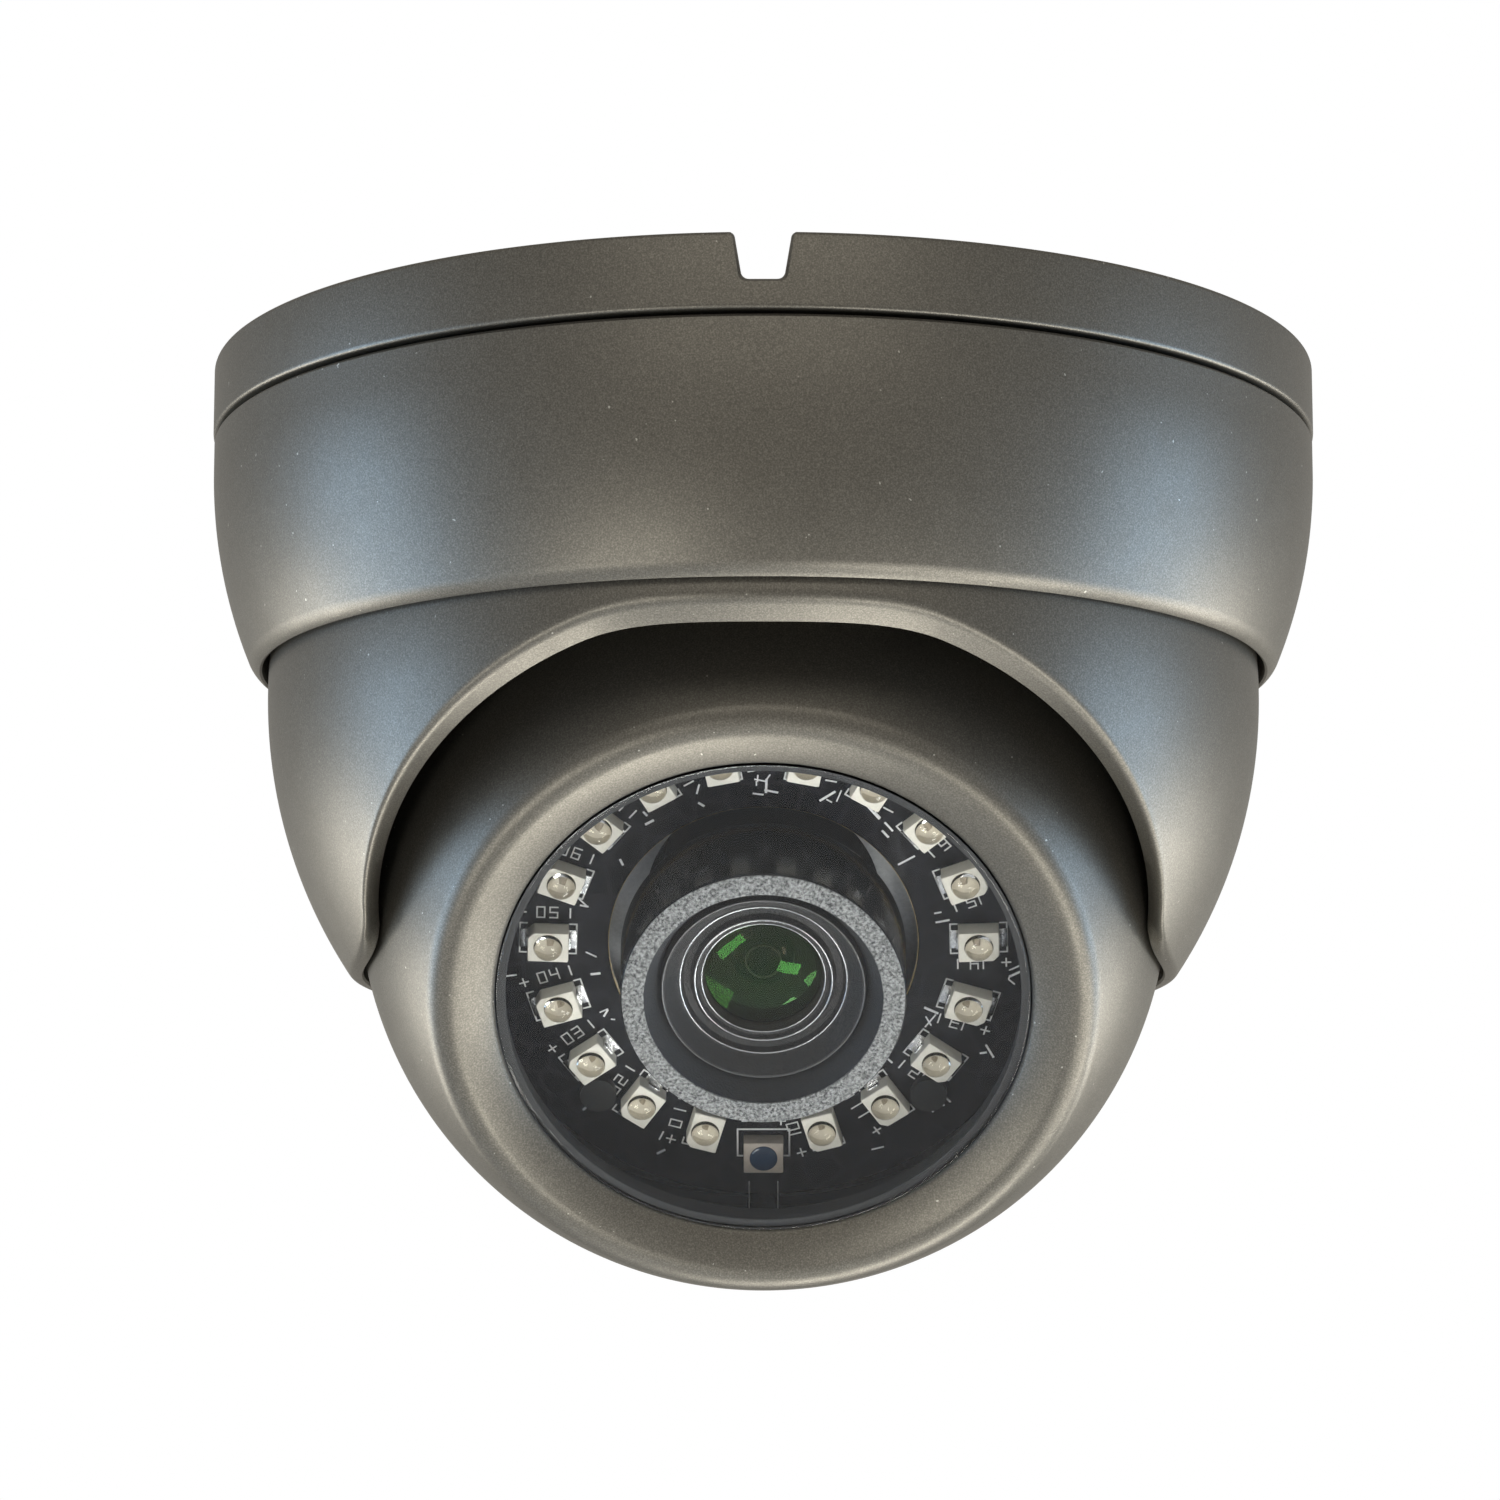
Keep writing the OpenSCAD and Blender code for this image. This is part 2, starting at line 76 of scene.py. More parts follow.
GROOVE_R = 31.8
GROOVE_HALF = 2.0
BELT_R = 29.6
BALL_SCREW_AT = 26.6    # distance from the lens axis
WINDOW_R = 21.6
WINDOW_Z = (19.6, 20.4)
BEZEL_FOOT = (21.75, WINDOW_Z[1] - 0.35)
SEAT_Z = WINDOW_Z[0] - 0.5
SEAT_INNER_R = 21.0
BOARD_R = 23.7
BOARD_HOLE_R = 12.6
LED_TOP = 10.6          # front of the LED board, along the lens axis
LED_CIRCLE_R = 17.5
LED_HALF = (1.67, 1.33)
LED_HEIGHT = 1.6
LED_WELL_R = 1.14
LED_ANGLES = [16 + i * 152.6 / 8 for i in range(9)]
SENSOR_AT = -19.3
SHIELD_R = 11.6
SHIELD_CROWN_R = 9.8
SHIELD_Z = WINDOW_Z[0] - 0.05
LENS_Z = 16.5
BARREL_R = 6.0          # M12 thread
HEAD_R = 8.3
HEAD_Z = 11.2           # back of the lens head
LENS_EDGE_R = 4.95
LENS_CURVE = 10.4       # radius of the front element's dome
TURNS = 288             # steps round a turned part

IN_BALL = Matrix.Translation((0, 0, BALL_Z)) @ Matrix.Rotation(math.radians(90 + TILT), 4, "X")
HERE = Matrix.Identity(4)


# ---------------------------------------------------------------- shape helpers
def arc(cx, cz, radius, start, end, steps):
    """Points on an arc, angles in degrees from the outward direction."""
    out = []
    for i in range(steps + 1):
        a = math.radians(start + (end - start) * i / steps)
        out.append((cx + radius * math.cos(a), cz + radius * math.sin(a)))
    return out


def rounded(points, closed=True):
    """Rounds each corner (r, z, radius) of an outline; a corner without a radius stays sharp."""
    out = []
    n = len(points)
    for i, p in enumerate(points):
        radius = p[2] if len(p) > 2 else 0
        if radius <= 0 or (not closed and i in (0, n - 1)):
            out.append((p[0], p[1]))
            continue
        here = Vector(p[:2])
        before = Vector(points[i - 1][:2]) - here
        after = Vector(points[(i + 1) % n][:2]) - here
        half = before.angle(after) / 2
        reach = min(radius / math.tan(half), before.length * 0.45, after.length * 0.45)
        a = here + before.normalized() * reach
        b = here + after.normalized() * reach
        for k in range(7):
            t = k / 6
            out.append(tuple(a * (1 - t) ** 2 + here * 2 * t * (1 - t) + b * t * t))
    return out


def make_object(name, verts, faces, matrix=HERE, sharp=32):
    mesh = bpy.data.meshes.new(name)
    place = Matrix.Scale(MM, 4) @ matrix
    mesh.from_pydata([place @ Vector(v) for v in verts], [], faces)
    tidy_mesh(mesh, sharp)
    obj = bpy.data.objects.new(name, mesh)
    scene.collection.objects.link(obj)
    return obj


def tidy_mesh(mesh, sharp=32):
    """Welds points, points the faces outwards and shades smooth up to an edge angle."""
    bm = bmesh.new()
    bm.from_mesh(mesh)
    bmesh.ops.remove_doubles(bm, verts=bm.verts, dist=1e-7)
    bmesh.ops.dissolve_degenerate(bm, edges=bm.edges, dist=1e-8)
    bmesh.ops.recalc_face_normals(bm, faces=bm.faces)
    bm.to_mesh(mesh)
    bm.free()
    mesh.shade_smooth()
    mesh.set_sharp_from_angle(angle=math.radians(sharp))


def lathe(name, profile, matrix=HERE, closed=True, turns=TURNS, sharp=32, span=(0, 360)):
    """Turns an outline of (radius, height) round the axis; span gives part of a turn."""
    full = span[1] - span[0] >= 360
    columns = turns if full else turns + 1
    verts = []
    for i in range(columns):
        a = math.radians(span[0] + (span[1] - span[0]) * i / turns)
        verts += [(r * math.cos(a), r * math.sin(a), z) for r, z in profile]
    n = len(profile)
    faces = []
    for i in range(turns):
        j = (i + 1) % columns
        for k in range(n if closed else n - 1):
            m = (k + 1) % n
            faces.append((i * n + k, j * n + k, j * n + m, i * n + m))
    if not full and closed:
        faces.append(tuple(range(n)))
        faces.append(tuple(reversed(range((columns - 1) * n, columns * n))))
    return make_object(name, verts, faces, matrix, sharp)


def box_shape(size, centre, bevel=0.0, matrix=HERE):
    """Verts and faces of a block, its edges rounded by bevel."""
    bm = bmesh.new()
    bmesh.ops.create_cube(bm, size=1)
    for v in bm.verts:
        v.co = Vector((v.co.x * size[0], v.co.y * size[1], v.co.z * size[2])) + Vector(centre)
    if bevel:
        bmesh.ops.bevel(bm, geom=bm.edges[:], offset=bevel, segments=2, affect="EDGES", profile=0.5)
    verts = [matrix @ v.co for v in bm.verts]
    bm.verts.index_update()
    faces = [[v.index for v in f.verts] for f in bm.faces]
    bm.free()
    return verts, faces


def gather(name, shapes, matrix=HERE, sharp=32):
    """One object from many (verts, faces) shapes."""
    verts, faces = [], []
    for v, f in shapes:
        first = len(verts)
        verts += [tuple(p) for p in v]
        faces += [[i + first for i in face] for face in f]
    return make_object(name, verts, faces, matrix, sharp)


def turned_shape(profile, turns=32, matrix=HERE):
    """Verts and faces of a small turned shape, its outline from axis to axis."""
    verts, faces = [], []
    n = len(profile)
    for i in range(turns):
        a = 2 * math.pi * i / turns
        verts += [matrix @ Vector((r * math.cos(a), r * math.sin(a), z)) for r, z in profile]
        j = (i + 1) % turns
        faces += [(i * n + k, j * n + k, j * n + k + 1, i * n + k + 1) for k in range(n - 1)]
    return verts, faces


def cut(target, tool, operation="DIFFERENCE"):
    """Applies a boolean with tool and removes it."""
    mod = target.modifiers.new("cut", "BOOLEAN")
    mod.operation = operation
    mod.solver = "EXACT"
    mod.object = tool
    graph = bpy.context.evaluated_depsgraph_get()
    mesh = bpy.data.meshes.new_from_object(target.evaluated_get(graph))
    target.modifiers.remove(mod)
    target.data = mesh
    bpy.data.objects.remove(tool)
    tidy_mesh(mesh)


def place(obj, body, slot, mat, *replaced):
    """Gives a piece its body and material and hides the CAD nodes that it stands for; slot is not used."""
    obj.data.materials.clear()
    obj.data.materials.append(mat)
    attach(obj, body)
    if replaced:
        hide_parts(*replaced)
    return obj


def second_material(body, mat, chosen):
    """Gives mat to the faces whose centre, in millimetres in the ball's own frame, is chosen."""
    body.data.materials.append(mat)
    to_ball = IN_BALL.inverted()
    for face in body.data.polygons:
        if chosen(to_ball @ (face.center / MM)):
            face.material_index = 1


# ---------------------------------------------------------------- materials
def new_material(name, color, roughness, metallic=0.0, **inputs):
    mat = bpy.data.materials.new(name)
    mat.use_nodes = True
    bsdf = mat.node_tree.nodes["Principled BSDF"]
    bsdf.inputs["Base Color"].default_value = (*color, 1)
    bsdf.inputs["Roughness"].default_value = roughness
    bsdf.inputs["Metallic"].default_value = metallic
    for key, value in inputs.items():
        bsdf.inputs[key.replace("_", " ")].default_value = value
    return mat, mat.node_tree, bsdf


def noise(tree, scale_mm, detail=2.0, rough=0.6):
    """3-D noise with grains about scale_mm across."""
    coords = tree.nodes.new("ShaderNodeTexCoord")
    node = tree.nodes.new("ShaderNodeTexNoise")
    node.inputs["Scale"].default_value = 1 / (scale_mm * MM)
    node.inputs["Detail"].default_value = detail
    node.inputs["Roughness"].default_value = rough
    tree.links.new(coords.outputs["Object"], node.inputs["Vector"])
    return node.outputs["Fac"]


def ramp(tree, source, stops):
    """Colour ramp on a source, stops are (position, colour)."""
    node = tree.nodes.new("ShaderNodeValToRGB")
    node.color_ramp.elements[0].position = stops[0][0]
    node.color_ramp.elements[0].color = (*stops[0][1], 1)
    node.color_ramp.elements[1].position = stops[-1][0]
    node.color_ramp.elements[1].color = (*stops[-1][1], 1)
    for pos, col in stops[1:-1]:
        e = node.color_ramp.elements.new(pos)
        e.color = (*col, 1)
    tree.links.new(source, node.inputs["Fac"])
    return node.outputs["Color"]


def bump(tree, bsdf, source, height_mm, strength=1.0):
    node = tree.nodes.new("ShaderNodeBump")
    node.inputs["Distance"].default_value = height_mm * MM
    node.inputs["Strength"].default_value = strength
    tree.links.new(source, node.inputs["Height"])
    tree.links.new(node.outputs["Normal"], bsdf.inputs["Normal"])
    return node


def paint_material(name):
    """Satin gunmetal paint: fine metal flake, faint orange peel and a few dust specks."""
    base = (0.165, 0.157, 0.136)
    mat, tree, bsdf = new_material(name, base, 0.39, 0.78)
    flake = noise(tree, 0.13, 2.0, 0.6)
    color = ramp(tree, flake, [
        (0.32, [c * 0.74 for c in base]),
        (0.52, base),
        (0.70, [c * 1.42 for c in base]),
    ])
    specks = ramp(tree, noise(tree, 0.50, 1.0, 0.5), [(0.790, (0, 0, 0)), (0.815, (1, 1, 1))])
    mix = tree.nodes.new("ShaderNodeMix")
    mix.data_type = "RGBA"
    tree.links.new(specks, mix.inputs["Factor"])
    tree.links.new(color, mix.inputs["A"])
    mix.inputs["B"].default_value = (0.50, 0.49, 0.44, 1)
    tree.links.new(mix.outputs["Result"], bsdf.inputs["Base Color"])
    rough = ramp(tree, noise(tree, 2.5, 2.0, 0.5), [(0.3, (0.39,) * 3), (0.7, (0.43,) * 3)])
    tree.links.new(rough, bsdf.inputs["Roughness"])
    bump(tree, bsdf, noise(tree, 0.13, 2.0, 0.6), 0.010, 0.6)
    return mat


def glass_material(name, tint, ior=1.49, roughness=0.0, tinted_specular=None):
    """Clear glass that lets lamp light through to what is behind it."""
    mat, tree, bsdf = new_material(name, tint, roughness, 0.0, Transmission_Weight=1.0, IOR=ior)
    if tinted_specular:
        bsdf.inputs["Specular Tint"].default_value = (*tinted_specular, 1)
    path = tree.nodes.new("ShaderNodeLightPath")
    clear = tree.nodes.new("ShaderNodeBsdfTransparent")
    clear.inputs["Color"].default_value = (*tint, 1)
    mix = tree.nodes.new("ShaderNodeMixShader")
    tree.links.new(path.outputs["Is Shadow Ray"], mix.inputs["Fac"])
    tree.links.new(bsdf.outputs["BSDF"], mix.inputs[1])
    tree.links.new(clear.outputs["BSDF"], mix.inputs[2])
    tree.links.new(mix.outputs["Shader"], tree.nodes["Material Output"].inputs["Surface"])
    return mat


def grainy_material(name, low, high, grain_mm, height_mm, roughness, metallic=0.0):
    """Plain material with grain in colour and height."""
    mat, tree, bsdf = new_material(name, low, roughness, metallic)
    grain = noise(tree, grain_mm, 3.0, 0.7)
    tree.links.new(ramp(tree, grain, [(0.35, low), (0.65, high)]), bsdf.inputs["Base Color"])
    bump(tree, bsdf, grain, height_mm)
    return mat


paint = paint_material("gunmetal_paint")
rubber = grainy_material("black_rubber", (0.012,) * 3, (0.022,) * 3, 0.3, 0.01, 0.75)
polymer = grainy_material("bearing_polymer", (0.62, 0.60, 0.52), (0.70, 0.68, 0.60), 0.5, 0.005, 0.5)
steel = grainy_material("zinc_steel", (0.50, 0.50, 0.48), (0.64, 0.64, 0.62), 0.3, 0.004, 0.32, 1.0)
brass = grainy_material("brass", (0.66, 0.47, 0.20), (0.76, 0.57, 0.27), 0.3, 0.004, 0.3, 1.0)
aluminium = grainy_material("plate_aluminium", (0.58, 0.59, 0.60), (0.68, 0.69, 0.70), 0.3, 0.004, 0.4, 1.0)
green_mask = grainy_material("green_board", (0.012, 0.09, 0.035), (0.02, 0.13, 0.05), 1.2, 0.01, 0.3)
chip = grainy_material("chip_black", (0.015,) * 3, (0.03,) * 3, 0.2, 0.004, 0.5)
white_plastic = grainy_material("white_plastic", (0.70, 0.68, 0.60), (0.76, 0.74, 0.67), 0.4, 0.004, 0.5)
wire_red = grainy_material("wire_red", (0.42, 0.02, 0.015), (0.5, 0.03, 0.02), 0.4, 0.004, 0.4)
shield_grain = grainy_material("shield_grain", (0.015,) * 3, (0.36, 0.36, 0.345), 0.26, 0.16, 0.70)
shield_slope = grainy_material("shield_slope", (0.004,) * 3, (0.030, 0.031, 0.034), 0.22, 0.08, 0.75)
shield_gloss = grainy_material("shield_gloss", (0.006, 0.006, 0.007), (0.010, 0.010, 0.011), 4.0, 0.002, 0.16)
inside_black = grainy_material("inside_black", (0.006,) * 3, (0.012,) * 3, 0.2, 0.001, 0.60)
lens_dark = grainy_material("lens_dark", (0.022, 0.020, 0.013), (0.030, 0.028, 0.019), 0.4, 0.001, 0.6)
barrel_black = grainy_material("barrel_black", (0.008, 0.008, 0.009), (0.05, 0.048, 0.046),
                               0.2, 0.05, 0.5, 0.3)
holder_black = grainy_material("holder_black", (0.012,) * 3, (0.02,) * 3, 0.3, 0.006, 0.6)
led_ceramic = grainy_material("led_ceramic", (0.86, 0.82, 0.71), (0.92, 0.88, 0.78), 0.4, 0.006, 0.45)
led_cup_white = grainy_material("led_cup_white", (0.66, 0.62, 0.54), (0.78, 0.74, 0.66), 0.5, 0.01, 0.35)
silk_white = grainy_material("silk_white", (0.62, 0.62, 0.60), (0.80, 0.80, 0.78), 0.15, 0.004, 0.6)
solder = grainy_material("solder", (0.62, 0.62, 0.62), (0.85, 0.85, 0.84), 0.35, 0.05, 0.22, 1.0)
screw_black = grainy_material("screw_black", (0.02,) * 3, (0.035,) * 3, 0.3, 0.01, 0.4, 0.6)
window_glass = glass_material("window_glass", (0.90, 0.92, 0.94), 1.32)
led_resin = glass_material("led_resin", (0.97, 0.95, 0.90), 1.50)
lens_coated = glass_material("lens_coated", (0.42, 0.39, 0.32), 1.38, 0.0, (0.22, 1.0, 0.16))
lens_clear = glass_material("lens_clear", (0.60, 0.58, 0.52), 1.30)
sensor_tan = grainy_material("sensor_tan", (0.42, 0.36, 0.30), (0.50, 0.44, 0.37), 0.4, 0.006, 0.45)
filter_glass = glass_material("filter_glass", (0.55, 0.30, 0.34), 1.5)


def board_black_material():
    """Glossy black solder mask with faint traces under it."""
    mat, tree, bsdf = new_material("black_board", (0.010, 0.010, 0.012), 0.18, Specular_IOR_Level=0.22)
    coords = tree.nodes.new("ShaderNodeTexCoord")
    cells = tree.nodes.new("ShaderNodeTexVoronoi")
    cells.feature = "DISTANCE_TO_EDGE"
    cells.inputs["Scale"].default_value = 1 / (2.6 * MM)
    tree.links.new(coords.outputs["Object"], cells.inputs["Vector"])
    lines = ramp(tree, cells.outputs["Distance"], [(0.04, (1, 1, 1)), (0.09, (0, 0, 0))])
    color = tree.nodes.new("ShaderNodeMix")
    color.data_type = "RGBA"
    tree.links.new(lines, color.inputs["Factor"])
    color.inputs["A"].default_value = (0.006, 0.006, 0.008, 1)
    color.inputs["B"].default_value = (0.014, 0.014, 0.018, 1)
    tree.links.new(color.outputs["Result"], bsdf.inputs["Base Color"])
    bump(tree, bsdf, noise(tree, 0.5, 3.0, 0.6), 0.006, 0.4)
    return mat


board_black = board_black_material()
sensor_eye, _, _ = new_material("sensor_eye", (0.012, 0.035, 0.075), 0.12)
die_dark = grainy_material("led_die", (0.22, 0.18, 0.13), (0.38, 0.33, 0.26), 0.2, 0.01, 0.35)
edge_bright, _, _ = new_material("machined_edge", (0.62, 0.63, 0.64), 0.22, 1.0)
edge_dark, _, _ = new_material("worn_edge", (0.20, 0.20, 0.20), 0.30, 1.0)
# painted glints: flat white standing in for light reflected off the board's tracks
painted_glint = grainy_material("painted_glint", (0.72, 0.72, 0.72), (0.90, 0.90, 0.90), 0.25, 0.03, 0.35)


# ---------------------------------------------------------------- base plate
def base_plate():
    rim = [
        (CABLE_HOLE_R, -BASE_H), (LIP_R - 1.5, -BASE_H, 0.2), (LIP_R - 1.5, SKIRT_Z, 0.2),
        (LIP_R + 0.1, SKIRT_Z, 0.2), (LIP_R + 0.1, -BASE_H, 0.2), (BASE_R, -BASE_H, 0.4), (BASE_R, 0, 0.4),
        (BASE_R - 0.9, 0, 0.1), (BASE_R - 0.9, -0.8), (BASE_R - 2, -0.8), (BASE_R - 2, 0, 0.1),
        (BASE_R - RIM_T, 0, 0.2), (BASE_R - RIM_T, FLOOR_Z, 0.6), (9, FLOOR_Z, 0.3),
        (9, -1.2, 0.3), (7.2, -1.2, 0.3), (7.2, FLOOR_Z, 0.2), (CABLE_HOLE_R, FLOOR_Z),
    ]
    body = lathe("base_shell", rounded(rim))
    for a in SCREW_ANGLES:
        spot = Matrix.Rotation(math.radians(a), 4, "Z") @ Matrix.Translation((SCREW_AT, 0, 0))
        boss = [(0, FLOOR_Z - 0.3), (5.2, FLOOR_Z - 0.3), (5.2, -0.3), (4.9, 0), (0, 0)]
        cut(body, lathe("boss", boss, spot, closed=False, turns=64), "UNION")
        hole = [(0, -9), (HEAD_RECESS_R, -9), (HEAD_RECESS_R, HEAD_RECESS_Z), (SCREW_R, HEAD_RECESS_Z),
                (SCREW_R, -0.3), (SCREW_R + 0.4, 0.1), (SCREW_R + 0.4, 1), (0, 1)]
        cut(body, lathe("hole", hole, spot, closed=False, turns=64))
    cut(body, notch_tool())
    place(body, "base", "housing_paint", paint, "base_plate")
    out, inn = BASE_R - 0.95, BASE_R - 1.95
    foam = [(out, -0.75), (inn, -0.75), (inn, -0.05, 0.2), (out, -0.05, 0.2)]
    gasket = lathe("base_foam_gasket", rounded(foam))
    cut(gasket, notch_tool())
    place(gasket, "base", "rubber_black", rubber, "base_gasket")


def notch_tool():
    """Cutter for the cable notch: a U whose corners and outer edge are eased."""
    def section(y, grow):
        top, foot, deep, ease = 2.15 + grow, 1.7 + grow, -3.7 - grow, 0.5
        right = [(top + ease + 1, 1), (top + ease + 0.2, 0.05)]
        for k in range(7):
            a = math.radians(90 + 78 * k / 6)
            right.append((top + ease + ease * math.cos(a), -ease + ease * math.sin(a)))
        for k in range(7):
            a = math.radians(-6 - 84 * k / 6)
            right.append((foot - 0.6 + 0.6 * math.cos(a), deep + 0.6 + 0.6 * math.sin(a)))
        loop = right + [(-x, z) for x, z in reversed(right)]
        return [(x, y, z) for x, z in loop]

    stations = ((-43.6, 0), (-46.6, 0), (-46.85, 0.12), (-47.2, 0.5), (-49, 0.5))
    rows = [section(y, grow) for y, grow in stations]
    n = len(rows[0])
    verts = [p for row in rows for p in row]
    faces = [(r * n + k, r * n + (k + 1) % n, (r + 1) * n + (k + 1) % n, (r + 1) * n + k)
             for r in range(len(rows) - 1) for k in range(n)]
    faces += [tuple(range(n)), tuple(reversed(range(len(rows) * n - n, len(rows) * n)))]
    return make_object("notch_tool", verts, faces)


# ---------------------------------------------------------------- trim ring
def trim_ring():
    sweep = 41.6
    foot = 2.6
    cx, cz = BASE_R - 0.1 - sweep, -9.0
    fz = RING_BOTTOM + foot - 0.2
    fx = cx + math.sqrt((sweep - foot) ** 2 - (fz - cz) ** 2)
    touch = math.degrees(math.asin((fz - cz) / (sweep - foot)))
    outline = [(RING_INNER_R, RING_TOP), (BASE_R - 0.35, RING_TOP), (BASE_R - 0.1, RING_TOP - 0.25)]
    outline += arc(cx, cz, sweep, 0, touch, 24)
    end = math.degrees(math.acos(min(1, (LIP_R + 0.25 - fx) / foot)))
    outline += arc(fx, fz, foot, touch, -end, 16)[1:]
    outline += [(LIP_R + 0.05, outline[-1][1] + 0.1), (LIP_R, outline[-1][1] + 0.35), (LIP_R, LEDGE_Z),
                (RING_INNER_R, LEDGE_Z)]
    ring = lathe("trim_ring_shell", outline)
    place(ring, "ring", "housing_paint", paint, "trim_ring")
    for a in (30, 150, 270):
        section = rounded([(43.1, -8.6, 0.2), (44.5, -8.6), (44.5, -6.9), (43.1, -6.9, 0.2)])
        lug = lathe("ring_lug_%d" % a, section, turns=24, span=(a - 12, a + 12))
        place(lug, "ring", "housing_paint", paint)


# ---------------------------------------------------------------- hood
def smooth_max(a, b, k):
    h = max(k - abs(a - b), 0) / k
    return max(a, b) + h * h * k / 4


def in_opening(p, arch_r, arch_v, crown_v):
    """Positive where a point lies inside the hood's opening: the arch or below the bottom edge."""
    slope = math.radians(ARCH_VIEW)
    v = -p.y * math.sin(slope) + p.z * math.cos(slope)
    arch = arch_r - math.hypot(p.x, v - arch_v) if v > arch_v else arch_r - abs(p.x)
    if p.y > 0:
        arch = -abs(p.y) - 5
    arch = -smooth_max(-arch, v - crown_v, 2.5)
    return smooth_max(arch, HOOD_BOTTOM - p.z, 3.0)


def hood_point(azimuth, elevation, radius):
    """Point on a sphere about the hood's centre; azimuth 0 is the front."""
    c = math.cos(elevation)
    return Vector((-radius * math.sin(azimuth) * c, -radius * math.cos(azimuth) * c,
                   HOOD_Z + radius * math.sin(elevation)))


def inner_radius(elevation):
    """Distance from the hood's centre to its inner wall: the cavity, or the ball's seat."""
    drop = HOOD_Z - BALL_Z
    s = math.sin(elevation)
    seat = -drop * s + math.sqrt(max(drop * drop * s * s - drop * drop + SEAT_R ** 2, 0))
    return max(HOOD_INNER_R, seat)


def edge_elevation(azimuth, radius_at, arch):
    """Elevation where a meridian first meets the opening."""
    low, high = math.radians(-60), math.radians(14)
    for _ in range(40):
        mid = (low + high) / 2
        if in_opening(hood_point(azimuth, mid, radius_at(mid)), *arch) > 0:
            low = mid
        else:
            high = mid
    return high


def pan_hood():
    columns = 540
    wall_rows, inner_rows, turn_rows = 46, 40, 7
    rows = []
    for i in range(columns):
        az = 2 * math.pi * i / columns
        outer_edge = edge_elevation(az, lambda e: HOOD_R, CREST_ARCH)
        inner_edge = edge_elevation(az, inner_radius, INNER_ARCH)
        crest = hood_point(az, outer_edge, HOOD_R)
        inner = hood_point(az, inner_edge, inner_radius(inner_edge))
        width = (inner - crest).length
        ease = min(0.75, width * 0.5)
        top = math.asin((FLANGE_Z[0] - HOOD_Z) / HOOD_R)
        start = outer_edge + ease / HOOD_R
        line = []
        for k in range(wall_rows + 1):
            t = k / wall_rows
            line.append(hood_point(az, top + (start - top) * t, HOOD_R))
        a, b = line[-1], crest + (inner - crest) * (ease / width)
        for k in range(1, turn_rows + 1):
            t = k / turn_rows
            line.append(a * (1 - t) ** 2 + crest * 2 * t * (1 - t) + b * t * t)
        lift = 0.18 / HOOD_INNER_R
        line.append(inner + (crest - inner) * min(0.18 / width, 0.3))
        inner_top = math.asin((FLANGE_Z[1] - HOOD_Z) / HOOD_INNER_R)
        for k in range(inner_rows + 1):
            t = k / inner_rows
            e = inner_edge + lift + (inner_top - inner_edge - lift) * t
            line.append(hood_point(az, e, inner_radius(e)))
        for r, z in ((FLANGE_R - 0.2, FLANGE_Z[1]), (FLANGE_R, FLANGE_Z[1] - 0.2),
                     (FLANGE_R, FLANGE_Z[0] + 0.2), (FLANGE_R - 0.2, FLANGE_Z[0])):
            line.append(Vector((-r * math.sin(az), -r * math.cos(az), z)))
        rows.append(line)
    n = len(rows[0])
    verts = [p for line in rows for p in line]
    faces = []
    for i in range(columns):
        j = (i + 1) % columns
        faces += [(i * n + k, i * n + (k + 1) % n, j * n + (k + 1) % n, j * n + k) for k in range(n)]
    hood = make_object("hood_shell", verts, faces, sharp=40)
    for side in (90, -90):
        spot = Matrix.Translation((0, 0, BALL_Z)) @ Matrix.Rotation(math.radians(side), 4, "Y")
        pocket = [(0, 30), (3.1, 30), (3.1, 36.0), (1.2, 36.0), (1.2, 37.7), (0, 37.7)]
        cut(hood, lathe("pocket", pocket, spot, closed=False, turns=48))
    place(hood, "hood", "housing_paint", paint, "pan_hood")


# ---------------------------------------------------------------- ball
def ball_front():
    crest, cz = 2.3, 19.2
    cr = math.sqrt((BALL_R - crest) ** 2 - cz * cz)
    foot = BEZEL_FOOT
    gap = Vector((cr - foot[0], cz - foot[1]))
    lean = math.degrees(math.atan2(gap.y, gap.x) + math.asin(crest / gap.length))
    start = math.degrees(math.asin(GROOVE_HALF / BALL_R))
    touch = math.degrees(math.atan2(cz, cr))
    inner_low = math.degrees(math.asin(4.8 / BALL_INNER_R))
    inner_high = math.degrees(math.asin((SEAT_Z - 1.6) / BALL_INNER_R))
    outline = [(GROOVE_R, 0), (GROOVE_R, GROOVE_HALF)]
    outline += arc(0, 0, BALL_R, start, touch, 40)
    outline += arc(cr, cz, crest, touch, 90 + lean, 20)[1:]
    outline += rounded([(foot[0] + 0.3, foot[1] + 0.3), (*foot, 0.2), (foot[0], SEAT_Z, 0.1),
                        (SEAT_INNER_R, SEAT_Z, 0.1), (SEAT_INNER_R, SEAT_Z - 1.6, 0.2)], closed=False)
    outline += arc(0, 0, BALL_INNER_R, inner_high, inner_low, 16)
    outline += [(28.2, 4.8), (28.2, 3.2), (BELT_R, 3.2), (BELT_R, 0)]
    body = lathe("ball_front_shell", outline, IN_BALL)
    place(body, "ball", "housing_paint", paint, "ball_front")
    behind = BEZEL_FOOT[1] - 0.15
    second_material(body, inside_black, lambda p: p.length < BALL_INNER_R + 0.2 and p.z < behind)


